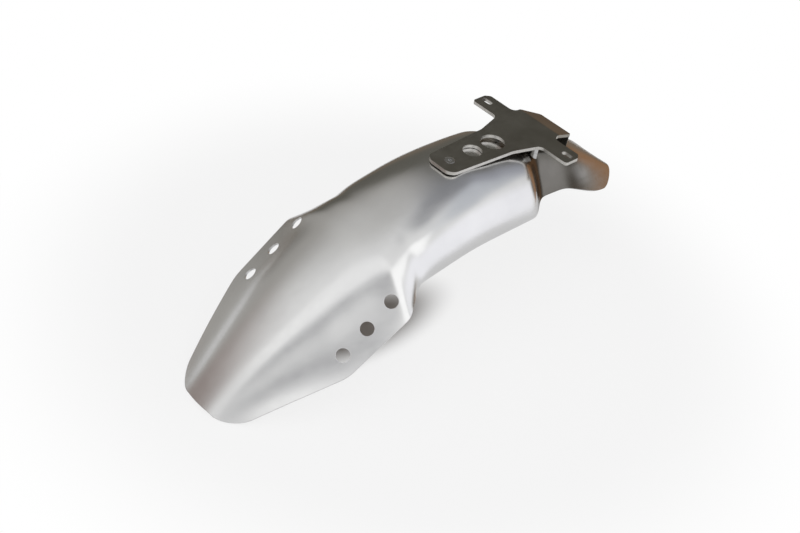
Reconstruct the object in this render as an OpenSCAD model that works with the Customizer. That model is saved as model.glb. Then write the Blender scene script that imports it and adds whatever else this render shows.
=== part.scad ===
// Motorcycle front fender: one formed aluminium sheet carried by a flat cut bracket plate.
// X points forward to the beak and Z points up. The origin lies midway between the two ear
// slots, on the top face of the bracket plate.

/* [Sheet] */
// Thickness of the shell sheet
sheet_t = 2; // [1.5:0.1:3]
// Clear gap between the shell and what is seated on it
seat_gap = 0.25; // [0.15:0.05:0.4]

/* [Crown] */
// Distance ahead of the slots at which the crown is highest
crown_apex_x = 91.5; // [84:0.5:100]
// Radius of the crown line at its highest point, seen from the side
crown_r = 335; // [300:5:400]
// Distance from the apex over which the crown line straightens out
crown_straightens = 620; // [450:10:900]
// Share of the half width at which the section leaves its flat crown
crown_fullness = 0.57; // [0.48:0.01:0.62]
// The same share along the tail
tail_fullness = 0.72; // [0.62:0.01:0.78]
// Share of the section at which its side leaves the trimmed edge
side_fullness = 0.51; // [0.4:0.01:0.56]

/* [Beak] */
// Distance from the slots to the front of the beak
tip_x = 460.5; // [430:0.5:500]
// Half width of the beak at its front
tip_half = 45.5; // [36:0.5:55]
// Height of the crown's top above the beak's front edge
tip_drop = 195; // [170:1:210]
// Place of the section halfway along the beak
beak_x = 400; // [385:1:410]
// Height of the crown's top above the beak's side edge there
beak_drop = 164; // [155:1:175]
// Radius of the beak's front corners
tip_corner_r = 22; // [8:1:28]
// How far the front edge bows out ahead of its corners
tip_bow = 11; // [2:1:16]
// Slope of the sheet at the beak's front edge, in degrees
tip_lean = 9; // [4:1:30]

/* [Wings] */
// Distance from the slots to the front corner of a wing
wing_front_x = 341; // [330:1:352]
// Half width at the front corner of the wings
wing_front_half = 98; // [90:0.5:105]
// Height of the crown's top above that corner
wing_front_drop = 136.5; // [130:0.5:145]
// Distance from the slots to the rear corner of a wing
wing_rear_x = 264; // [256:1:270]
// Half width at the rear corner of the wings
wing_rear_half = 102.5; // [93:0.5:108]
// Height of the crown's top above that corner
wing_rear_drop = 87.5; // [82:0.5:92]
// Slope of the sheet at the edge of a wing, in degrees
wing_lean = 32; // [26:1:38]
// Diameter of the holes in the wings
wing_hole_d = 15.5; // [12:0.5:18]
// Number of holes in each wing
wing_holes = 3; // [1:1:3]
// Distance from the slots to the rearmost wing hole
wing_hole_x = 274; // [270:1:278]
// Pitch of the wing holes along the fender
wing_hole_pitch = 30.5; // [26:0.5:32]
// Distance of the wing holes from the middle of the fender
wing_hole_y = 79.5; // [76:0.5:83]

/* [Neck] */
// Distance from the slots to the front end of the neck
neck_front_x = 232; // [220:1:238]
// Half width of the neck at its front end
neck_front_half = 78; // [74:0.5:82]
// Height of the crown's top above the edge there
neck_front_drop = 73.5; // [70:0.5:78]
// Place of the section in the middle of the neck
neck_mid_x = 150; // [140:1:160]
// Half width of the middle of the neck
neck_mid_half = 77; // [73:0.5:81]
// Height of the crown's top above the edge there
neck_mid_drop = 60; // [58:0.5:66]
// Half width of the neck at its rear end
neck_rear_half = 74.5; // [71:0.5:79]
// Height of the crown's top above the edge there
neck_rear_drop = 62; // [58:0.5:66]
// Slope of the neck's sides at their edge, in degrees
neck_lean = 82.5; // [76:0.5:86]

/* [Tail] */
// Place of the front end of the step between neck and tail
step_front_x = 40.5; // [36:0.5:44]
// Place of the rear end of that step
step_rear_x = 15; // [11:1:19]
// Half width of the tail right behind the step
step_rear_half = 54.5; // [50:0.5:58]
// Height of the crown's top above the edge there
step_rear_drop = 57.5; // [54:0.5:60]
// Distance behind the slots of the tail's waist
waist_x = 30; // [25:1:40]
// Half width of the waist
waist_half = 56; // [52:0.5:62]
// Height of the crown's top above the waist's edge
waist_drop = 59; // [56:0.5:64]
// Distance behind the slots at which the tail is widest
flare_x = 90; // [80:1:100]
// Half width of the tail there
flare_half = 62; // [58:0.5:68]
// Height of the crown's top above the edge there
flare_drop = 85; // [79:0.5:88]
// Distance behind the slots of the tail's end
tail_x = 153; // [142:1:165]
// Half width that the sides of the tail would reach at its end
tail_half = 52; // [48:0.5:62]
// Height of the crown's top above the edge at the tail's end
tail_drop = 99.5; // [92:0.5:105]
// Radius of the corners that round the tail's end
tail_corner_r = 44; // [30:1:46]
// How far the tail's end edge bows out behind its corners
tail_bow = 5; // [0:1:10]
// How far the crown curls down at the tail's end
tail_curl = 3; // [0:0.5:6]
// Slope of the tail's sides at their edge, in degrees
tail_lean = 55.5; // [48:0.5:64]

/* [Bracket plate] */
// Thickness of the bracket plate
plate_t = 4; // [3:0.25:6]
// Distance from the slots to the front edge of the tongue
tongue_x = 145.5; // [140:0.5:150]
// Half width of the tongue at its front edge
tongue_front_half = 20.5; // [16:0.5:22]
// Distance from the slots to where the tongue starts to widen towards the ears
shoulder_x = 50; // [44:0.5:56]
// Half width of the tongue there
shoulder_half = 26; // [24:0.5:28]
// Half width of the tongue where it runs into the ears
tongue_root_half = 36; // [32:0.5:40]
// Radius of the tongue's front corners
tongue_corner_r = 12; // [4:0.5:16]
// Radius of the fillet between the tongue and an ear
ear_fillet_r = 8; // [5:0.5:12]
// Distance from the slots to the front edge of the ears
ear_front_x = 14; // [12:0.5:17]
// Distance behind the slots of the ears' rear edge
ear_rear_x = 12.5; // [11:0.5:16]
// Distance from the centre of a slot to the end of its ear
ear_end = 11; // [9.5:0.5:15]
// Radius of an ear's corners
ear_corner_r = 4; // [2:0.5:5]
// Length along the fender of the slope at an ear's rear corner
ear_slope_x = 6; // [3:0.5:9]
// Length across the fender of that slope
ear_slope_y = 5; // [3:0.5:7]
// Distance between the centres of the two slots
slot_spacing = 130; // [126:0.5:134]
// Width of a slot
slot_w = 6.6; // [5.5:0.1:8.5]
// Length of a slot over its round ends
slot_l = 14.5; // [11:0.5:16]
// Distance from the slots to the middle lightening hole
mid_hole_x = 91; // [88:0.5:94]
// Diameter of the middle lightening hole
mid_hole_d = 23; // [18:0.5:26]
// Distance from the slots to the rear lightening hole
large_hole_x = 57.5; // [55:0.5:60]
// Diameter of the rear lightening hole
large_hole_d = 29; // [24:0.5:34]

/* [Rear tab] */
// Half width of the tab at its root
tab_root_half = 32; // [30:0.5:34]
// Half width of the tab at its rear end
tab_end_half = 25; // [21:0.5:28]
// Length of the flat behind the ears, up to the tab's bend
tab_flat = 9; // [8:0.5:12]
// Radius of the corners at the tab's end
tab_corner_r = 6; // [3:0.5:9]
// Angle at which the tab slopes down, in degrees
tab_angle = 23; // [14:1:26]
// Length of the tab's sloping flat
tab_l = 34; // [28:0.5:40]
// Inner radius of the tab's bends
bend_r = 4; // [3:0.5:6]
// Angle of the lip at the tab's end below the plate's plane, in degrees
lip_angle = 84; // [76:1:88]

/* [Front fixing] */
// Distance from the slots to the front screw
front_screw_x = 127.5; // [125:0.5:130]
// Diameter of the front screw's flush head
flush_head_d = 12; // [10.5:0.25:13]
// Thread diameter of the screws
screw_d = 6; // [5:0.5:6.5]
// Clearance on diameter of the holes that the screws pass
hole_clearance = 0.6; // [0.3:0.1:1]
// Outer diameter of the spacer under the tongue
spacer_d = 14; // [12:0.5:18]
// Outer diameter of the washers
washer_d = 12; // [11:0.5:14]
// Thickness of the washers
washer_t = 1.6; // [1:0.1:2]
// Width of the nut across its flats
nut_w = 10; // [9:0.5:12]
// Height of the nut
nut_h = 5; // [4:0.25:7]
// Length of screw thread that stands out of the nut
thread_proud = 1.5; // [0.5:0.25:3]
// Clearance between a screw and the thread it runs in, on diameter
thread_clearance = 0.2; // [0.1:0.05:0.3]
// Width across flats of the screws' hexagon sockets
socket_w = 4; // [3:0.5:4.5]
// Depth of those sockets
socket_depth = 2.2; // [1.5:0.1:2.5]

/* [Side spacers] */
// Distance from the slots to the side spacers
side_spacer_x = 12; // [10:0.5:14]
// Distance of a side spacer from the middle of the fender
side_spacer_y = 27; // [25:0.5:29]
// Diameter of a side spacer
side_spacer_d = 10; // [8:0.5:12]
// Clear gap under the middle of a side spacer's foot, where the step makes the shell hollow
side_foot_gap = 0.9; // [0.7:0.05:1.4]

/* [Hidden] */
$fn = 48;

// Steps of the loft along the fender between its rounded ends, and round each end
LONG_STEPS = 62;
END_STEPS = 8;
// Steps of the loft from the crown to one edge
SIDE_STEPS = 14;
// Halvings in the search for a point of a section at a given width
SEARCH_STEPS = 16;
// Depth by which a cutter stands out of what it cuts
OVER = 1;

crown_top = -plate_t - seat_gap;
wing_mid_x = (wing_front_x + wing_rear_x) / 2;

// Lines that rule the shell, each a list of [x, value, easing length]
HALF_WIDTH = [[-tail_x, tail_half, 0], [-flare_x, flare_half, 30], [-waist_x, waist_half, 28],
              [step_rear_x, step_rear_half, 11], [step_front_x, neck_rear_half, 11],
              [neck_mid_x, neck_mid_half, 40], [neck_front_x, neck_front_half, 9],
              [wing_rear_x, wing_rear_half, 9], [wing_front_x, wing_front_half, 12],
              [tip_x, tip_half, 0]];
EDGE_DROP = [[-tail_x, tail_drop, 0], [-flare_x, flare_drop, 28], [-waist_x, waist_drop, 20],
             [step_rear_x, step_rear_drop, 7], [step_front_x, neck_rear_drop, 6],
             [neck_mid_x, neck_mid_drop, 40], [neck_front_x, neck_front_drop, 9],
             [wing_rear_x, wing_rear_drop, 8], [wing_front_x, wing_front_drop, 12],
             [beak_x, beak_drop, 25], [tip_x, tip_drop, 0]];
EDGE_LEAN = [[-tail_x, tail_lean, 0], [step_rear_x, tail_lean, 12],
             [step_front_x, neck_lean, 12], [neck_front_x, neck_lean, 25],
             [wing_rear_x, wing_lean, 25], [tip_x, tip_lean, 0]];

FULLNESS = [[-tail_x, tail_fullness, 0], [step_rear_x, tail_fullness, 12],
            [step_front_x, crown_fullness, 12], [tip_x, crown_fullness, 0]];

// A ramp that starts rising at zero and is eased over the length r on both sides of it
function ramp(u, r) =
    u <= -r ? 0 :
    u >= r ? u :
    u < 0 ? pow(u + r, 3) / (6 * r * r) : u + pow(r - u, 3) / (6 * r * r);

function slope(line, i) = (line[i + 1][1] - line[i][1]) / (line[i + 1][0] - line[i][0]);

// Value at x of a line of straight runs whose corners are eased
function eased(line, x, i = 1) =
    i == 1
    ? line[0][1] + slope(line, 0) * (x - line[0][0]) + (len(line) > 2 ? eased(line, x, 2) : 0)
    : (slope(line, i - 1) - slope(line, i - 2)) * ramp(x - line[i - 1][0], line[i - 1][2])
      + (i < len(line) - 1 ? eased(line, x, i + 1) : 0);

// Height of the crown line: round at its apex, straighter towards both ends, curled at the tail
function crown_z(x) =
    crown_top - pow(crown_straightens, 2) / crown_r
    * (sqrt(1 + pow((x - crown_apex_x) / crown_straightens, 2)) - 1)
    - tail_curl * pow(max((-flare_x - x) / (tail_x - flare_x), 0), 2);

// Width that the rounded corners of both ends take off the edge
function round_off(u, r) = r * (1 - sqrt(1 - pow(min(max(u, 0), 1), 2)));
function corner_cut(x) =
    round_off((x - (tip_x - tip_corner_r)) / tip_corner_r, tip_corner_r)
    + round_off(((tail_corner_r - tail_x) - x) / tail_corner_r, tail_corner_r);

// How far the edge lies ahead of the crown point of its section
function bow(x) =
    tail_bow * pow(max((-waist_x - x) / (tail_x - waist_x), 0), 2)
    - tip_bow * pow(max((x - wing_front_x) / (tip_x - wing_front_x), 0), 2);

// Control points, as [y, z], of the curve from crown to edge of the section at x
function section(x) =
    let (w = eased(HALF_WIDTH, x), c = crown_z(x), e = crown_top - eased(EDGE_DROP, x),
         lean = eased(EDGE_LEAN, x), reach = side_fullness * norm([w, c - e]))
    [[0, c], [eased(FULLNESS, x) * w, c],
     [w - reach * cos(lean), e + reach * sin(lean)], [w, e]];

function on_curve(p, t) =
    pow(1 - t, 3) * p[0] + 3 * t * pow(1 - t, 2) * p[1]
    + 3 * t * t * (1 - t) * p[2] + pow(t, 3) * p[3];

// Place along a section at which its half width is y
function place_at(p, y, lo = 0, hi = 1, n = SEARCH_STEPS) =
    let (t = (lo + hi) / 2)
    n == 0 ? t :
    on_curve(p, t)[0] < y ? place_at(p, y, t, hi, n - 1) : place_at(p, y, lo, t, n - 1);

function shell_point(x, p, t, side) =
    let (q = on_curve(p, t))
    [x + bow(x) * pow(q[0] / p[3][0], 2), side * q[0], q[1]];

// One row of points of the outer face, from the right edge over the crown to the left edge
function shell_row(x) =
    let (p = section(x), cut = corner_cut(x),
         last = cut > 0 ? place_at(p, p[3][0] - cut) : 1)
    [for (j = [-SIDE_STEPS:SIDE_STEPS])
        shell_point(x, p, last * abs(j) / SIDE_STEPS, sign(j))];

function unit(v) = v / norm(v);

// Direction out of the outer face at the width y of the section at x
function shell_normal(x, y) =
    let (d = 1, a = surface_at(x + d, y) - surface_at(x - d, y),
         b = surface_at(x, y + d) - surface_at(x, y - d))
    unit(cross(a, b));

// Point of the outer face at the width y of the section at x
function surface_at(x, y) =
    let (p = section(x))
    shell_point(x, p, place_at(p, abs(y)), sign(y));

tail_start = tail_corner_r - tail_x;
tip_start = tip_x - tip_corner_r;
STATIONS = concat(
    [for (i = [0:END_STEPS - 1]) tail_start - tail_corner_r * cos(90 * i / END_STEPS)],
    [for (i = [0:LONG_STEPS]) tail_start + (tip_start - tail_start) * i / LONG_STEPS],
    [for (i = [1:END_STEPS]) tip_start + tip_corner_r * sin(90 * i / END_STEPS)]);

module along(point, direction) {
    tilt = acos(direction[2]);
    turn = atan2(direction[1], direction[0]);
    translate(point) rotate([0, tilt, turn]) children();
}

module both_sides() {
    children();
    mirror([0, 1, 0]) children();
}

// The formed sheet, as an outer face, an inner face one sheet thickness below and the edges
module formed_sheet() {
    outer = [for (x = STATIONS) shell_row(x)];
    rows = len(outer);
    cols = len(outer[0]);
    inner = [for (i = [0:rows - 1]) [for (j = [0:cols - 1])
        let (a = outer[min(i + 1, rows - 1)][j] - outer[max(i - 1, 0)][j],
             b = outer[i][min(j + 1, cols - 1)] - outer[i][max(j - 1, 0)])
        outer[i][j] - sheet_t * unit(cross(a, b))]];
    points = [for (face = [outer, inner]) for (row = face) each row];
    half = (cols - 1) / 2;
    function at(i, j, face = 0) = (face * rows + i) * cols + j;
    faces = [
        for (i = [0:rows - 2]) for (j = [0:cols - 2]) for (face = [0, 1])
            let (q = [at(i, j, face), at(i, j + 1, face),
                      at(i + 1, j + 1, face), at(i + 1, j, face)],
                 halves = j < half ? [[q[0], q[1], q[2]], [q[0], q[2], q[3]]]
                                   : [[q[0], q[1], q[3]], [q[1], q[2], q[3]]])
            for (f = halves) face == 0 ? f : [f[2], f[1], f[0]],
        for (i = [0:rows - 2]) for (j = [0, cols - 1])
            let (q = [at(i, j), at(i + 1, j), at(i + 1, j, 1), at(i, j, 1)])
            for (f = [[q[0], q[1], q[2]], [q[0], q[2], q[3]]]) j == 0 ? f : [f[2], f[1], f[0]],
        for (j = [0:cols - 2]) for (i = [0, rows - 1])
            let (q = [at(i, j), at(i, j + 1), at(i, j + 1, 1), at(i, j, 1)])
            for (f = [[q[0], q[1], q[2]], [q[0], q[2], q[3]]]) i == 0 ? [f[2], f[1], f[0]] : f];
    polyhedron(points, faces);
}

module fender_shell() color([0.80, 0.81, 0.82]) difference() {
    formed_sheet();
    for (i = [0:wing_holes - 1]) {
        x = wing_hole_x + i * wing_hole_pitch;
        both_sides() along(surface_at(x, wing_hole_y), shell_normal(x, wing_hole_y))
            cylinder(h = 6 * sheet_t, d = wing_hole_d, center = true);
    }
    translate([front_screw_x, 0, crown_z(front_screw_x)])
        cylinder(h = 6 * sheet_t, d = screw_d + hole_clearance, center = true);
}

ear_reach = slot_spacing / 2 + ear_end;
tab_root_x = -ear_rear_x - tab_flat;

// Outline of the flat plate: tongue in front, an ear at each side, root of the tab behind
module plate_outline() {
    offset(r = -ear_fillet_r) offset(delta = ear_fillet_r) union() {
        tongue_outline();
        ears_outline();
        translate([tab_root_x, -tab_root_half]) square([ear_rear_x + tab_flat, 2 * tab_root_half]);
    }
}

module tongue_outline() {
    offset(r = tongue_corner_r) offset(delta = -tongue_corner_r)
        polygon([[-ear_rear_x, -tongue_root_half], [ear_front_x, -tongue_root_half],
                 [shoulder_x, -shoulder_half], [tongue_x, -tongue_front_half],
                 [tongue_x, tongue_front_half], [shoulder_x, shoulder_half],
                 [ear_front_x, tongue_root_half], [-ear_rear_x, tongue_root_half]]);
}

// Both ears as one bar, its two rear corners cut at a slope
module ears_outline() {
    offset(r = ear_corner_r) offset(delta = -ear_corner_r)
        polygon([[ear_front_x, -ear_reach], [ear_front_x, ear_reach],
                 [ear_slope_x - ear_rear_x, ear_reach], [-ear_rear_x, ear_reach - ear_slope_y],
                 [-ear_rear_x, ear_slope_y - ear_reach], [ear_slope_x - ear_rear_x, -ear_reach]]);
}

// Side view of the bent tab: one face of it, at the distance r from the bends' centres
bend_1 = [tab_root_x, -plate_t - bend_r];
bend_2 = bend_1 + tab_l * [-cos(tab_angle), -sin(tab_angle)];
lip_foot_x = bend_2[0] - bend_r * sin(lip_angle);
lip_l = (bend_2[1] + bend_r * cos(lip_angle) - crown_z(lip_foot_x) - seat_gap) / sin(lip_angle);
BEND_STEPS = 8;
function tab_face(r) = concat(
    [[tab_root_x + OVER, bend_1[1] + r]],
    [for (k = [0:BEND_STEPS]) let (a = tab_angle * k / BEND_STEPS)
        bend_1 + r * [-sin(a), cos(a)]],
    [for (k = [0:BEND_STEPS]) let (a = tab_angle + (lip_angle - tab_angle) * k / BEND_STEPS)
        bend_2 + r * [-sin(a), cos(a)]],
    [bend_2 + r * [-sin(lip_angle), cos(lip_angle)]
        + lip_l * [-cos(lip_angle), -sin(lip_angle)]]);
function reversed(list) = [for (i = [len(list) - 1:-1:0]) list[i]];

module rear_tab() {
    lip_back = bend_2[0] - bend_r - plate_t;
    intersection() {
        rotate([90, 0, 0])
            linear_extrude(2 * tab_root_half, center = true)
                polygon(concat(tab_face(bend_r + plate_t), reversed(tab_face(bend_r))));
        translate([0, 0, -4 * tab_l])
            linear_extrude(5 * tab_l)
                polygon([[tab_root_x + OVER, -tab_root_half], [tab_root_x, -tab_root_half],
                         [lip_back + tab_corner_r, -tab_end_half],
                         [lip_back, tab_corner_r - tab_end_half],
                         [lip_back - plate_t, tab_corner_r - tab_end_half],
                         [lip_back - plate_t, tab_end_half - tab_corner_r],
                         [lip_back, tab_end_half - tab_corner_r],
                         [lip_back + tab_corner_r, tab_end_half],
                         [tab_root_x, tab_root_half], [tab_root_x + OVER, tab_root_half]]);
    }
}

module slot(length, width) {
    hull_span = length - width;
    for (end = [-1, 1]) translate([0, end * hull_span / 2, -plate_t - OVER])
        cylinder(h = plate_t + 2 * OVER, d = width);
    translate([-width / 2, -hull_span / 2, -plate_t - OVER])
        cube([width, hull_span, plate_t + 2 * OVER]);
}

module plate_hole(x, d) {
    translate([x, 0, -plate_t - OVER]) cylinder(h = plate_t + 2 * OVER, d = d);
}

flush_head_h = (flush_head_d - screw_d) / 2;

module bracket_plate() color([0.34, 0.33, 0.30]) difference() {
    union() {
        translate([0, 0, -plate_t]) linear_extrude(plate_t) plate_outline();
        rear_tab();
    }
    both_sides() translate([0, slot_spacing / 2, 0]) slot(slot_l, slot_w);
    plate_hole(mid_hole_x, mid_hole_d);
    plate_hole(large_hole_x, large_hole_d);
    plate_hole(front_screw_x, screw_d + hole_clearance);
    translate([front_screw_x, 0, -flush_head_h])
        cylinder(h = flush_head_h, d1 = screw_d + hole_clearance,
                 d2 = flush_head_d + hole_clearance);
}

// Heights along the front screw's axis
// The crown slopes and curves across a washer, so the washer meets it at its rim
crown_slope = (crown_z(front_screw_x - 1) - crown_z(front_screw_x + 1)) / 2;
washer_sag = pow(washer_d, 2) / (8 * neck_mid_half);
front_washer_top = crown_z(front_screw_x) - sheet_t - crown_slope * washer_d / 2 - washer_sag - seat_gap;
front_nut_top = front_washer_top - washer_t;
front_screw_end = front_nut_top - nut_h - thread_proud;

module ring(h, outer, inner) {
    difference() {
        cylinder(h = h, d = outer);
        translate([0, 0, -OVER]) cylinder(h = h + 2 * OVER, d = inner);
    }
}

module socket() {
    cylinder(h = socket_depth + OVER, d = socket_w / cos(30), $fn = 6);
}

module front_screw() color([0.62, 0.63, 0.64]) translate([front_screw_x, 0, 0]) difference() {
    union() {
        translate([0, 0, -flush_head_h]) cylinder(h = flush_head_h, d1 = screw_d, d2 = flush_head_d);
        translate([0, 0, front_screw_end])
            cylinder(h = -flush_head_h - front_screw_end, d = screw_d);
    }
    translate([0, 0, -socket_depth]) socket();
}

front_spacer_foot = crown_z(front_screw_x) + crown_slope * spacer_d / 2 + seat_gap;

module front_spacer() color([0.72, 0.73, 0.74])
    translate([front_screw_x, 0, front_spacer_foot])
        ring(-plate_t - front_spacer_foot, spacer_d, screw_d + hole_clearance);

module front_washer() color([0.72, 0.73, 0.74])
    translate([front_screw_x, 0, front_nut_top])
        ring(washer_t, washer_d, screw_d + hole_clearance);

module front_nut() color([0.68, 0.69, 0.70])
    translate([front_screw_x, 0, front_nut_top - nut_h]) difference() {
        cylinder(h = nut_h, d = nut_w / cos(30), $fn = 6);
        translate([0, 0, -OVER]) cylinder(h = nut_h + 2 * OVER, d = screw_d + thread_clearance);
    }

// Plain posts from the plate's underside down to the shell, their feet cut to its slope
module side_spacers() color([0.70, 0.71, 0.72]) both_sides() {
    foot = surface_at(side_spacer_x, side_spacer_y);
    reach = -plate_t - foot[2];
    difference() {
        translate([foot[0], foot[1], foot[2] - reach])
            cylinder(h = 2 * reach, d = side_spacer_d);
        along(foot, shell_normal(side_spacer_x, side_spacer_y))
            translate([0, 0, side_foot_gap - 4 * reach])
            cylinder(h = 4 * reach, r = 4 * reach);
    }
}

fender_shell();
bracket_plate();
front_screw();
front_spacer();
front_washer();
front_nut();
side_spacers();
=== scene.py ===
# Looks of a motorcycle front fender: a formed aluminium shell under a flat bracket plate.
import math

import bmesh
import bpy
import numpy as np
from mathutils import Matrix, Vector


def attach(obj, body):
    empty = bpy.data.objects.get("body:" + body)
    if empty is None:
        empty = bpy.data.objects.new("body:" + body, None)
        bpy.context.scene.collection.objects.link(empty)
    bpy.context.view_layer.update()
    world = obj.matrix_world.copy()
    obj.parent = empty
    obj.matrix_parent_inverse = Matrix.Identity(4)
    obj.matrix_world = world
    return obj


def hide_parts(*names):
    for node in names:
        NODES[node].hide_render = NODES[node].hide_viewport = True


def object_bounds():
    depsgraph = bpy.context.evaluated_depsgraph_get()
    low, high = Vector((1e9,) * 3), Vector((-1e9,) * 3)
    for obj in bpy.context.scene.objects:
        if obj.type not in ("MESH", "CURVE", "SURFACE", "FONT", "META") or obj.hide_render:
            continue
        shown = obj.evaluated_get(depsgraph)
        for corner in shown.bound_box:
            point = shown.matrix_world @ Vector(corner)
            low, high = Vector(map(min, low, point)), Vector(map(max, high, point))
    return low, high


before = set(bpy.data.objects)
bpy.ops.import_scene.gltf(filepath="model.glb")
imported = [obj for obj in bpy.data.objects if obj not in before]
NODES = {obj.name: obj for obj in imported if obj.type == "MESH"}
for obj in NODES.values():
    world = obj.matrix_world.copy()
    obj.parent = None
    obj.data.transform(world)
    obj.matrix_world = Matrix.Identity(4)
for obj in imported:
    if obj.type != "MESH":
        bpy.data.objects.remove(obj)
CAD_LOW, CAD_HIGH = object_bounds()
SCENE = bpy.context.scene

# Camera, in millimetres of the fender's own frame, as solved from the photograph
CAMERA_AT_MM = (1074.4, 772.7, 818.1)
CAMERA_RIGHT = (-0.728, 0.671, 0.141)
CAMERA_DOWN = (0.348, 0.539, -0.767)
FOCAL_PX = 1313.0
IMAGE_W_PX = 800
SENSOR_MM = 36.0

# Round white floor; its glow grows to plain white at the rim, where the white room takes over
FLOOR_AT_M = (0.155, 0.0)
FLOOR_R_M = 0.55
FLOOR_PLAIN_R_M = 0.30
FLOOR_GAP_M = 0.0005
FLOOR_GLOW = 0.80
GLOSSY_SHARE = 0.25

# Form of the shell, in millimetres and degrees; half widths and drops are at the trimmed edge
SHEET_T = 2
CROWN_TOP = -4.25
CROWN_APEX_X = 91.5
CROWN_R = 335
CROWN_STRAIGHTENS = 620
SIDE_FULLNESS = 0.51
TIP_X = 460.5
TIP_CORNER_R = 22
TIP_BOW = 11
BEAK_X = 400
WING_FRONT_X = 341
WING_REAR_X = 264
NECK_FRONT_X = 232
NECK_MID_X = 150
STEP_FRONT_X = 40.5
STEP_REAR_X = 15
WAIST_X = 30
FLARE_X = 90
TAIL_X = 153
TAIL_CORNER_R = 44
TAIL_BOW = 5
TAIL_CURL = 3
WING_HOLES = 3
WING_HOLE_D = 15.5
WING_HOLE_X = 274
WING_HOLE_PITCH = 30.5
WING_HOLE_Y = 79.5
# The outer face is raised under the tongue of the plate, and reaches about 1 mm into it from below
SEAT_LIFT = 3.0
SEAT_FROM_X = 84
SEAT_RISE = 48
SEAT_TO_X = 146
SEAT_FALL = 80
SEAT_HALF = 22
SEAT_SIDE_FALL = 36
SCREW_X = 127.5
SCREW_HOLE_D = 6.6

# Lines along the fender, each corner as (x, value, easing length). EDGE_LEAN, and the easing of the
# width at the step, differ from the solid's, so the two surfaces lie up to 3.5 mm apart
HALF_WIDTH = [(-TAIL_X, 52, 0), (-FLARE_X, 62, 30), (-WAIST_X, 56, 28), (STEP_REAR_X, 54.5, 14),
              (STEP_FRONT_X, 74.5, 14), (NECK_MID_X, 77, 40), (NECK_FRONT_X, 78, 9),
              (WING_REAR_X, 102.5, 9), (WING_FRONT_X, 98, 12), (TIP_X, 45.5, 0)]
EDGE_DROP = [(-TAIL_X, 99.5, 0), (-FLARE_X, 85, 28), (-WAIST_X, 59, 20), (STEP_REAR_X, 57.5, 7),
             (STEP_FRONT_X, 62, 6), (NECK_MID_X, 60, 40), (NECK_FRONT_X, 73.5, 9),
             (WING_REAR_X, 87.5, 8), (WING_FRONT_X, 136.5, 12), (BEAK_X, 164, 25), (TIP_X, 195, 0)]
EDGE_LEAN = [(-TAIL_X, 50, 0), (-FLARE_X, 48, 20), (8, 42, 14), (42, 82.5, 14), (226, 82.5, 30),
             (266, 36, 30), (WING_FRONT_X, 24, 30), (TIP_X, 9, 0)]
FULLNESS = [(-TAIL_X, 0.72, 0), (STEP_REAR_X, 0.72, 12), (STEP_FRONT_X, 0.57, 12), (TIP_X, 0.57, 0)]

# Painted shade: the tail's colour is darkened behind the step, and less so towards its end
TAIL_SHADE_FROM_X = 42
TAIL_SHADE_FADE = 14
TAIL_SHADE_LENGTH = 88
TAIL_SHADE_FADE_END = 42

# Plate: cut edges face less upwards than this and are bright, except on the bent tab behind
EDGE_LEVEL = 0.55
FACE_LEVEL = 0.75
TAB_DULL_FROM_X = -18
TAB_DULL_FADE = 4

# Fineness of the smooth shell
LONG_STEPS = 230
END_STEPS = 20
SIDE_STEPS = 44
HOLE_SEGMENTS = 64
SHARP_DEG = 35
EDGE_ROUND_MM = 0.6

# Shade painted on the floor under the shell, so that the near wing's holes read dark; in metres
SHADE_AT_M = (0.228, 0.0)
SHADE_HALF_M = (0.084, 0.034)


def new_material(name):
    """An empty node material with a Principled shader; returns (material, nodes, links, shader)."""
    material = bpy.data.materials.new(name)
    material.use_nodes = True
    nodes, links = material.node_tree.nodes, material.node_tree.links
    return material, nodes, links, nodes["Principled BSDF"]


def noise(nodes, links, scale, detail=4.0, roughness=0.55, stretch=(1, 1, 1)):
    """A noise texture in object space, stretched along the object's own axes."""
    coords = nodes.new("ShaderNodeTexCoord")
    mapping = nodes.new("ShaderNodeMapping")
    mapping.inputs["Scale"].default_value = stretch
    texture = nodes.new("ShaderNodeTexNoise")
    texture.inputs["Scale"].default_value = scale
    texture.inputs["Detail"].default_value = detail
    texture.inputs["Roughness"].default_value = roughness
    links.new(coords.outputs["Object"], mapping.inputs["Vector"])
    links.new(mapping.outputs["Vector"], texture.inputs["Vector"])
    return texture.outputs["Fac"]


def ramp(nodes, links, factor, stops):
    """A colour ramp over factor; stops are (place, grey or colour)."""
    node = nodes.new("ShaderNodeValToRGB")
    elements = node.color_ramp.elements
    while len(elements) < len(stops):
        elements.new(0.5)
    for element, (place, value) in zip(elements, stops):
        colour = (value, value, value) if isinstance(value, float) else value
        element.position = place
        element.color = (*colour, 1)
    links.new(factor, node.inputs["Fac"])
    return node.outputs["Color"]


def bump(nodes, links, height, distance, strength, under=None):
    """A bump of the given depth in metres, laid over another bump if one is given."""
    node = nodes.new("ShaderNodeBump")
    node.inputs["Distance"].default_value = distance
    node.inputs["Strength"].default_value = strength
    links.new(height, node.inputs["Height"])
    if under is not None:
        links.new(under, node.inputs["Normal"])
    return node.outputs["Normal"]


def math_node(nodes, links, operation, *values):
    """A math node over sockets or plain numbers; returns its output."""
    node = nodes.new("ShaderNodeMath")
    node.operation = operation
    for socket, value in zip(node.inputs, values):
        if isinstance(value, (int, float)):
            socket.default_value = value
        else:
            links.new(value, socket)
    return node.outputs[0]


def fade(nodes, links, value, start, full, kind="SMOOTHSTEP", low=0.0, high=1.0):
    """A soft change from low to high while value runs from start to full."""
    node = nodes.new("ShaderNodeMapRange")
    node.interpolation_type = kind
    node.inputs["From Min"].default_value = start
    node.inputs["From Max"].default_value = full
    node.inputs["To Min"].default_value = low
    node.inputs["To Max"].default_value = high
    links.new(value, node.inputs["Value"])
    return node.outputs["Result"]


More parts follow.
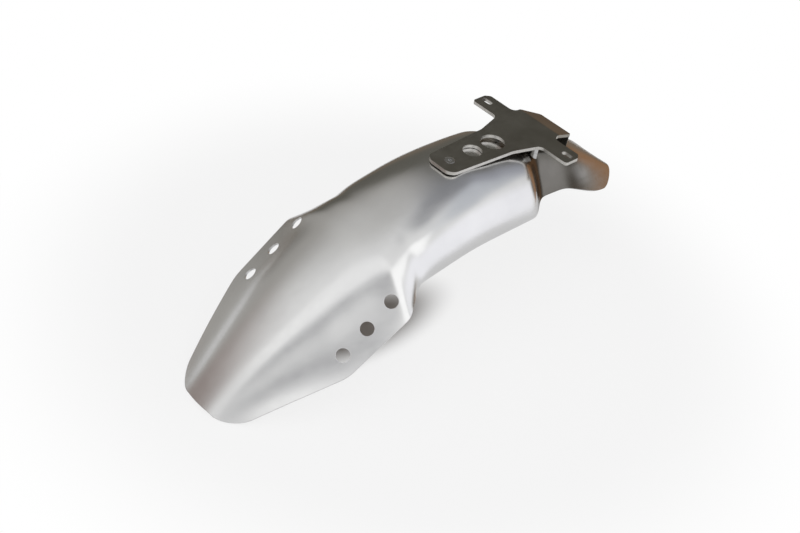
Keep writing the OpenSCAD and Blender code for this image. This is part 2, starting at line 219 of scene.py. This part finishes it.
def in_frame(nodes, links, at, turn_deg, half):
    """Object coordinates shifted to a place, turned about Z and counted in half sizes."""
    coords = nodes.new("ShaderNodeTexCoord")
    fit = nodes.new("ShaderNodeMapping")
    fit.vector_type = "TEXTURE"
    fit.inputs["Location"].default_value = (*at, 0)
    fit.inputs["Rotation"].default_value = (0, 0, math.radians(turn_deg))
    fit.inputs["Scale"].default_value = (*half, 1)
    links.new(coords.outputs["Object"], fit.inputs["Vector"])
    parts = nodes.new("ShaderNodeSeparateXYZ")
    links.new(fit.outputs["Vector"], parts.inputs["Vector"])
    return parts.outputs["X"], parts.outputs["Y"]


def distance(nodes, links, u, v):
    """Distance of (u, v) from zero."""
    squares = [math_node(nodes, links, "MULTIPLY", w, w) for w in (u, v)]
    return math_node(nodes, links, "SQRT", math_node(nodes, links, "ADD", *squares))


def mix_colours(nodes, links, share, first, second):
    """A colour that goes from first to second with share; each is a socket or a plain colour."""
    node = nodes.new("ShaderNodeMix")
    node.data_type = "RGBA"
    links.new(share, node.inputs["Factor"])
    for name, value in (("A", first), ("B", second)):
        if isinstance(value, tuple):
            node.inputs[name].default_value = (*value, 1)
        else:
            links.new(value, node.inputs[name])
    return node.outputs["Result"]


def wear(nodes, links, shader, rough_range, grain_scale, stretch, bump_mm, waves_mm=0.0):
    """Uneven roughness, fine scratches and, if asked, slow ripples of hand-worked sheet."""
    grain = noise(nodes, links, grain_scale, detail=5.0, stretch=stretch)
    cloud = noise(nodes, links, 11.0, detail=3.0)
    both = math_node(nodes, links, "MULTIPLY_ADD", grain, 0.5, math_node(
        nodes, links, "MULTIPLY", cloud, 0.5))
    low, high = rough_range
    links.new(ramp(nodes, links, both, [(0.35, low), (0.65, high)]), shader.inputs["Roughness"])
    edge = nodes.new("ShaderNodeBevel")
    edge.samples = 6
    edge.inputs["Radius"].default_value = EDGE_ROUND_MM / 1000
    under = edge.outputs["Normal"]
    if waves_mm:
        slow = noise(nodes, links, 7.5, detail=1.0, roughness=0.4)
        under = bump(nodes, links, slow, waves_mm / 1000, 1.0, under)
    fine = noise(nodes, links, grain_scale * 4, detail=2.0, stretch=stretch)
    links.new(bump(nodes, links, fine, bump_mm / 1000, 1.0, under), shader.inputs["Normal"])


def shell_metal():
    """Hand-finished aluminium sheet: satin, with faint mottling, fine scratches and slow ripples."""
    material, nodes, links, shader = new_material("satin_aluminium")
    shader.inputs["Metallic"].default_value = 1.0
    blotch = noise(nodes, links, 16.0, detail=5.0)
    colour = ramp(nodes, links, blotch, [(0.30, (0.79, 0.79, 0.79)), (0.70, (0.85, 0.85, 0.845))])
    # Painted shade: this much darker colour is given to the tail behind the step
    dull_skin_and_painted_shade = ramp(nodes, links, blotch, [(0.30, (0.17, 0.162, 0.148)), (0.70, (0.23, 0.22, 0.20))])
    along, _ = in_frame(nodes, links, (TAIL_SHADE_FROM_X / 1000, 0), 0, (0.001, 0.001))
    behind = fade(nodes, links, along, 0.0, -TAIL_SHADE_FADE)
    before = fade(nodes, links, along, -TAIL_SHADE_LENGTH - TAIL_SHADE_FADE_END, -TAIL_SHADE_LENGTH)
    share = math_node(nodes, links, "MULTIPLY", behind, before)
    links.new(mix_colours(nodes, links, share, colour, dull_skin_and_painted_shade), shader.inputs["Base Color"])
    wear(nodes, links, shader, (0.18, 0.26), 60.0, (0.25, 2.2, 2.2), 0.001, 1.2)
    return material


def plate_metal():
    """Dull grey flat stock, brighter where it was cut, with slight stains and a mill grain."""
    material, nodes, links, shader = new_material("dull_plate")
    shader.inputs["Metallic"].default_value = 1.0
    stain = noise(nodes, links, 32.0, detail=6.0)
    skin = ramp(nodes, links, stain, [(0.30, (0.34, 0.325, 0.285)), (0.72, (0.43, 0.415, 0.37))])
    cut = noise(nodes, links, 160.0, detail=4.0, stretch=(1, 1, 0.2))
    bare = ramp(nodes, links, cut, [(0.30, (0.60, 0.585, 0.55)), (0.75, (0.74, 0.725, 0.69))])
    place = nodes.new("ShaderNodeNewGeometry")
    split = nodes.new("ShaderNodeSeparateXYZ")
    links.new(place.outputs["True Normal"], split.inputs["Vector"])
    level = math_node(nodes, links, "ABSOLUTE", split.outputs["Z"])
    flat = fade(nodes, links, level, EDGE_LEVEL, FACE_LEVEL, "LINEAR")
    along, _ = in_frame(nodes, links, (TAB_DULL_FROM_X / 1000, 0), 0, (TAB_DULL_FADE / 1000, 1))
    behind = fade(nodes, links, along, 0.0, -1.0)
    dull_skin_and_painted_shade = math_node(nodes, links, "MAXIMUM", flat, behind)
    links.new(mix_colours(nodes, links, dull_skin_and_painted_shade, bare, skin), shader.inputs["Base Color"])
    wear(nodes, links, shader, (0.30, 0.42), 90.0, (1, 3, 3), 0.004)
    return material


def hardware_metal():
    """Plain bright steel of the screw, nut, washer and spacers."""
    material, nodes, links, shader = new_material("bright_steel")
    shader.inputs["Metallic"].default_value = 1.0
    turned = noise(nodes, links, 300.0, detail=4.0)
    colour = ramp(nodes, links, turned, [(0.30, (0.60, 0.60, 0.60)), (0.75, (0.72, 0.72, 0.71))])
    links.new(colour, shader.inputs["Base Color"])
    wear(nodes, links, shader, (0.22, 0.36), 240.0, (1, 1, 1), 0.003)
    return material


def dress(node, material):
    """Puts one material on a CAD node's slots."""
    data = NODES[node].data
    data.materials.clear()
    data.materials.append(material)


def ease_ramp(u, r):
    """A ramp that starts rising at zero and is eased over the length r on both sides of it."""
    if r == 0:
        return np.maximum(u, 0)
    below = np.clip(u + r, 0, None) ** 3 / (6 * r * r)
    above = u + np.clip(r - u, 0, None) ** 3 / (6 * r * r)
    return np.where(u <= -r, 0, np.where(u < 0, below, above))


def eased(line, x):
    """Value at x of a line of straight runs whose corners are eased; line holds (x, value, easing)."""
    slopes = [(b[1] - a[1]) / (b[0] - a[0]) for a, b in zip(line, line[1:])]
    value = line[0][1] + slopes[0] * (x - line[0][0])
    for corner, before, after in zip(line[1:-1], slopes, slopes[1:]):
        value = value + (after - before) * ease_ramp(x - corner[0], corner[2])
    return value


def crown_z(x):
    """Height of the crown line."""
    run = CROWN_STRAIGHTENS
    arch = run ** 2 / CROWN_R * (np.sqrt(1 + ((x - CROWN_APEX_X) / run) ** 2) - 1)
    curl = TAIL_CURL * np.clip((-FLARE_X - x) / (TAIL_X - FLARE_X), 0, None) ** 2
    return CROWN_TOP - arch - curl


def corner_cut(x):
    """Width that the rounded corners of both ends take off the edge."""
    cut = 0
    for start, r in ((x - (TIP_X - TIP_CORNER_R), TIP_CORNER_R),
                     (TAIL_CORNER_R - TAIL_X - x, TAIL_CORNER_R)):
        cut = cut + r * (1 - np.sqrt(1 - np.clip(start / r, 0, 1) ** 2))
    return cut


def sections(x):
    """Control points of the curve from crown to edge at each x: half width, heights and reach."""
    width = eased(HALF_WIDTH, x)
    crown = crown_z(x)
    edge = CROWN_TOP - eased(EDGE_DROP, x)
    lean = np.radians(eased(EDGE_LEAN, x))
    reach = SIDE_FULLNESS * np.hypot(width, crown - edge)
    y = [0 * width, eased(FULLNESS, x) * width, width - reach * np.cos(lean), width]
    z = [crown, crown, edge + reach * np.sin(lean), edge]
    return y, z


def bezier(p, t):
    s = 1 - t
    return s ** 3 * p[0] + 3 * t * s * s * p[1] + 3 * t * t * s * p[2] + t ** 3 * p[3]


def place_at(p, y):
    """Place along a section at which its half width is y."""
    low, high = np.zeros_like(y), np.ones_like(y)
    for _ in range(24):
        middle = (low + high) / 2
        short = bezier(p, middle) < y
        low = np.where(short, middle, low)
        high = np.where(short, high, middle)
    return (low + high) / 2


def outer_points(x, across):
    """Points of the outer face in mm: rows along the fender, columns from right over crown to left."""
    ys, zs = sections(x)
    width = ys[3]
    cut = corner_cut(x)
    last = np.where(cut > 1e-6, place_at(ys, width - cut), 1.0)
    t = np.abs(across)[None, :] * last[:, None]
    columns = [v[:, None] for v in ys]
    y = bezier(columns, t)
    z = bezier([v[:, None] for v in zs], t)
    bow = (TAIL_BOW * np.clip((-WAIST_X - x) / (TAIL_X - WAIST_X), 0, None) ** 2
           - TIP_BOW * np.clip((x - WING_FRONT_X) / (TIP_X - WING_FRONT_X), 0, None) ** 2)
    px = x[:, None] + bow[:, None] * (y / width[:, None]) ** 2
    return np.stack([px, y * np.sign(across)[None, :], z], 2)


def seat_lift(x, y):
    """How far the crown rises to meet the tongue of the plate."""
    rise = soft_step((x - SEAT_FROM_X) / SEAT_RISE) * (1 - soft_step((x - SEAT_TO_X) / SEAT_FALL))
    return SEAT_LIFT * rise * (1 - soft_step((np.abs(y) - SEAT_HALF) / SEAT_SIDE_FALL))


def soft_step(u):
    u = np.clip(u, 0, 1)
    return u * u * (3 - 2 * u)


def surface_at(x, y):
    """Point of the outer face at the width y of the section at x."""
    here = np.array([float(x)])
    ys, zs = sections(here)
    t = place_at(ys, np.array([abs(float(y))]))
    bow = (TAIL_BOW * max((-WAIST_X - x) / (TAIL_X - WAIST_X), 0) ** 2
           - TIP_BOW * max((x - WING_FRONT_X) / (TIP_X - WING_FRONT_X), 0) ** 2)
    return np.array([x + bow * (y / ys[3][0]) ** 2, y, bezier(zs, t)[0]])


def surface_normal(x, y):
    along = surface_at(x + 1, y) - surface_at(x - 1, y)
    across = surface_at(x, y + 1) - surface_at(x, y - 1)
    normal = np.cross(along, across)
    return normal / np.linalg.norm(normal)


def sheet_mesh():
    """The formed sheet as one closed smooth mesh, without its holes."""
    quarter = np.linspace(0, math.pi / 2, END_STEPS + 1)
    tail = TAIL_CORNER_R - TAIL_X
    tip = TIP_X - TIP_CORNER_R
    x = np.concatenate([tail - TAIL_CORNER_R * np.cos(quarter[:-1]),
                        np.linspace(tail, tip, LONG_STEPS + 1),
                        tip + TIP_CORNER_R * np.sin(quarter[1:])])
    outer = outer_points(x, np.linspace(-1, 1, 2 * SIDE_STEPS + 1))
    rows, columns = outer.shape[:2]
    normal = np.cross(np.gradient(outer, axis=0), np.gradient(outer, axis=1))
    normal /= np.linalg.norm(normal, axis=2, keepdims=True)
    inner = outer - SHEET_T * normal
    outer[:, :, 2] += seat_lift(outer[:, :, 0], outer[:, :, 1])
    points = np.concatenate([outer.reshape(-1, 3), inner.reshape(-1, 3)]) / 1000
    at = np.arange(2 * rows * columns).reshape(2, rows, columns)
    faces = []
    for side, flip in ((at[0], False), (at[1], True)):
        quads = np.stack([side[:-1, :-1], side[1:, :-1], side[1:, 1:], side[:-1, 1:]], 2)
        quads = quads.reshape(-1, 4)
        faces.append(quads[:, ::-1] if flip else quads)
    for line, under, flip in ((at[0][:, 0], at[1][:, 0], False), (at[0][:, -1], at[1][:, -1], True),
                              (at[0][0], at[1][0], True), (at[0][-1], at[1][-1], False)):
        quads = np.stack([line[:-1], under[:-1], under[1:], line[1:]], 1)
        faces.append(quads[:, ::-1] if flip else quads)
    mesh = bpy.data.meshes.new("shell_sheet")
    mesh.from_pydata(points.tolist(), [], np.concatenate(faces).tolist())
    mesh.validate()
    return mesh


def cylinder_mesh(name, at, direction, radius, length):
    """A closed cylinder about a point, all in mm."""
    shape = bmesh.new()
    turn = Vector((0, 0, 1)).rotation_difference(Vector(direction)).to_matrix().to_4x4()
    place = Matrix.Translation(Vector(at) / 1000) @ turn
    bmesh.ops.create_cone(shape, cap_ends=True, segments=HOLE_SEGMENTS, radius1=radius / 1000,
                          radius2=radius / 1000, depth=length / 1000, matrix=place)
    mesh = bpy.data.meshes.new(name)
    shape.to_mesh(mesh)
    shape.free()
    return mesh


def make_shell(material):
    """The smooth shell with its holes, in place of the faceted one."""
    mesh = sheet_mesh()
    shell = bpy.data.objects.new("formed_shell", mesh)
    SCENE.collection.objects.link(shell)
    cutters = []
    for i in range(WING_HOLES):
        x = WING_HOLE_X + i * WING_HOLE_PITCH
        for side in (-1, 1):
            y = side * WING_HOLE_Y
            cutters.append(cylinder_mesh("hole", surface_at(x, y), surface_normal(x, y),
                                         WING_HOLE_D / 2, 6 * SHEET_T))
    top = (SCREW_X, 0, crown_z(SCREW_X))
    cutters.append(cylinder_mesh("hole", top, (0, 0, 1), SCREW_HOLE_D / 2, 6 * SHEET_T))
    helpers = []
    for cutter in cutters:
        helper = bpy.data.objects.new("hole", cutter)
        SCENE.collection.objects.link(helper)
        helpers.append(helper)
        cut = shell.modifiers.new("hole", "BOOLEAN")
        cut.operation = "DIFFERENCE"
        cut.solver = "EXACT"
        cut.object = helper
    bpy.context.view_layer.update()
    ready = shell.evaluated_get(bpy.context.evaluated_depsgraph_get())
    finished = bpy.data.meshes.new_from_object(ready)
    shell.modifiers.clear()
    shell.data = finished
    for helper in helpers:
        bpy.data.objects.remove(helper)
    soften(finished)
    finished.materials.clear()
    finished.materials.append(material)
    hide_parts("fender_shell")
    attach(shell, "root")


def soften(mesh):
    """Shades a mesh smooth except across its sharp edges."""
    shape = bmesh.new()
    shape.from_mesh(mesh)
    for face in shape.faces:
        face.smooth = True
    for edge in shape.edges:
        edge.smooth = not edge.is_manifold or edge.calc_face_angle(0) < math.radians(SHARP_DEG)
    shape.to_mesh(mesh)
    shape.free()


def make_camera():
    data = bpy.data.cameras.new("camera")
    data.sensor_width = SENSOR_MM
    data.lens = FOCAL_PX / IMAGE_W_PX * SENSOR_MM
    data.clip_start = 0.05
    data.clip_end = 60
    camera = bpy.data.objects.new("camera", data)
    SCENE.collection.objects.link(camera)
    right = Vector(CAMERA_RIGHT).normalized()
    up = -Vector(CAMERA_DOWN)
    up = (up - right * up.dot(right)).normalized()
    back = right.cross(up)
    turn = Matrix((right, up, back)).transposed()
    camera.matrix_world = Matrix.Translation(Vector(CAMERA_AT_MM) / 1000) @ turn.to_4x4()
    SCENE.camera = camera


def make_floor():
    """A pale floor with a painted shade under the shell, turning into the white room at its rim."""
    shape = bmesh.new()
    z = CAD_LOW.z - FLOOR_GAP_M
    bmesh.ops.create_circle(shape, cap_ends=True, segments=128, radius=FLOOR_R_M,
                            matrix=Matrix.Translation((*FLOOR_AT_M, z)))
    mesh = bpy.data.meshes.new("floor")
    shape.to_mesh(mesh)
    shape.free()
    floor = bpy.data.objects.new("floor", mesh)
    SCENE.collection.objects.link(floor)
    material, nodes, links, shader = new_material("floor_white")
    shader.inputs["Roughness"].default_value = 0.9
    u, v = in_frame(nodes, links, SHADE_AT_M, 0, SHADE_HALF_M)
    open_floor = fade(nodes, links, distance(nodes, links, u, v), 0.60, 1.85)
    tint = ramp(nodes, links, open_floor, [(0.0, (0.30, 0.27, 0.245)), (1.0, (0.9, 0.9, 0.9))])
    links.new(tint, shader.inputs["Base Color"])
    u, v = in_frame(nodes, links, FLOOR_AT_M, 0, (1, 1))
    glow_share = fade(nodes, links, distance(nodes, links, u, v), FLOOR_PLAIN_R_M,
                      FLOOR_R_M * 0.97, low=FLOOR_GLOW)
    seen = nodes.new("ShaderNodeLightPath")
    direct = math_node(nodes, links, "MAXIMUM", seen.outputs["Is Camera Ray"],
                       seen.outputs["Is Transmission Ray"])
    mirrored = math_node(nodes, links, "MULTIPLY", seen.outputs["Is Glossy Ray"], GLOSSY_SHARE)
    share = math_node(nodes, links, "MAXIMUM", direct, mirrored)
    for factor in (glow_share, open_floor):
        share = math_node(nodes, links, "MULTIPLY", share, factor)
    glow = nodes.new("ShaderNodeEmission")
    glow.inputs["Color"].default_value = (1, 1, 1, 1)
    mix = nodes.new("ShaderNodeMixShader")
    links.new(share, mix.inputs["Fac"])
    links.new(shader.outputs["BSDF"], mix.inputs[1])
    links.new(glow.outputs["Emission"], mix.inputs[2])
    links.new(mix.outputs["Shader"], nodes["Material Output"].inputs["Surface"])
    mesh.materials.append(material)


# Soft patches of the room: azimuth and elevation, colour, radius at its rim and of its full middle
ROOM_BASE = (0.80, 0.80, 0.80)
ROOM_PATCHES = [
    ((118, 5), (1.00, 1.00, 1.04), 40, 14),
    ((201, 47), (0.33, 0.34, 0.38), 44, 16),
    ((-104, 22), (0.36, 0.35, 0.33), 57, 12),
    ((-35, 2), (0.27, 0.22, 0.20), 49, 15),
    ((33, 46), (0.45, 0.45, 0.46), 17, 4),
    ((149, 52), (0.53, 0.55, 0.59), 21, 6),
    ((-152, 66), (0.23, 0.235, 0.25), 24, 9),
    ((-134, 13), (0.11, 0.105, 0.09), 50, 28),
    ((164, 2), (0.155, 0.145, 0.125), 18, 9),
    ((186, -8), (0.26, 0.145, 0.075), 32, 19),
    ((-125, -40), (0.16, 0.13, 0.10), 50, 30),
]


def towards(azimuth, elevation):
    a, e = math.radians(azimuth), math.radians(elevation)
    return math.cos(a) * math.cos(e), math.sin(a) * math.cos(e), math.sin(e)


def make_world():
    """The room: white to the camera; to the metal pale, with soft patches tuned to the photograph."""
    world = bpy.data.worlds.new("room")
    world.use_nodes = True
    SCENE.world = world
    nodes, links = world.node_tree.nodes, world.node_tree.links
    coords = nodes.new("ShaderNodeTexCoord")
    seen = nodes.new("ShaderNodeLightPath")
    white = math_node(nodes, links, "MAXIMUM", seen.outputs["Is Camera Ray"],
                      seen.outputs["Is Transmission Ray"])
    colour = ROOM_BASE
    layers = []
    for direction, tint, rim, middle in ROOM_PATCHES:
        dot = nodes.new("ShaderNodeVectorMath")
        dot.operation = "DOT_PRODUCT"
        dot.inputs[1].default_value = towards(*direction)
        links.new(coords.outputs["Generated"], dot.inputs[0])
        share = fade(nodes, links, dot.outputs["Value"], math.cos(math.radians(rim)),
                     math.cos(math.radians(middle)), "SMOOTHERSTEP")
        layers.append((tint, share))
    layers.append(((1, 1, 1), white))
    for tint, share in layers:
        colour = mix_colours(nodes, links, share, colour, tint)
    links.new(colour, nodes["Background"].inputs["Color"])
    nodes["Background"].inputs["Strength"].default_value = 1.0


def make_lamps():
    """A large soft lamp high at the right and a weak one high in front."""
    for name, at, size, power in [("key", (0.40, 1.25, 1.35), 1.2, 1.6),
                                  ("front", (1.3, 0.1, 1.6), 1.2, 0.8)]:
        data = bpy.data.lights.new(name, "AREA")
        data.size = size
        data.energy = power
        lamp = bpy.data.objects.new(name, data)
        SCENE.collection.objects.link(lamp)
        lamp.location = at
        lamp.rotation_mode = "QUATERNION"
        lamp.rotation_quaternion = (Vector((0.15, 0, -0.08)) - Vector(at)).to_track_quat("-Z", "Y")


def main():
    SCENE.view_settings.view_transform = "Standard"
    make_camera()
    make_floor()
    make_world()
    make_lamps()
    make_shell(shell_metal())
    dress("bracket_plate", plate_metal())
    steel = hardware_metal()
    for node in ("front_screw", "front_spacer", "front_washer", "front_nut", "side_spacers"):
        dress(node, steel)


main()
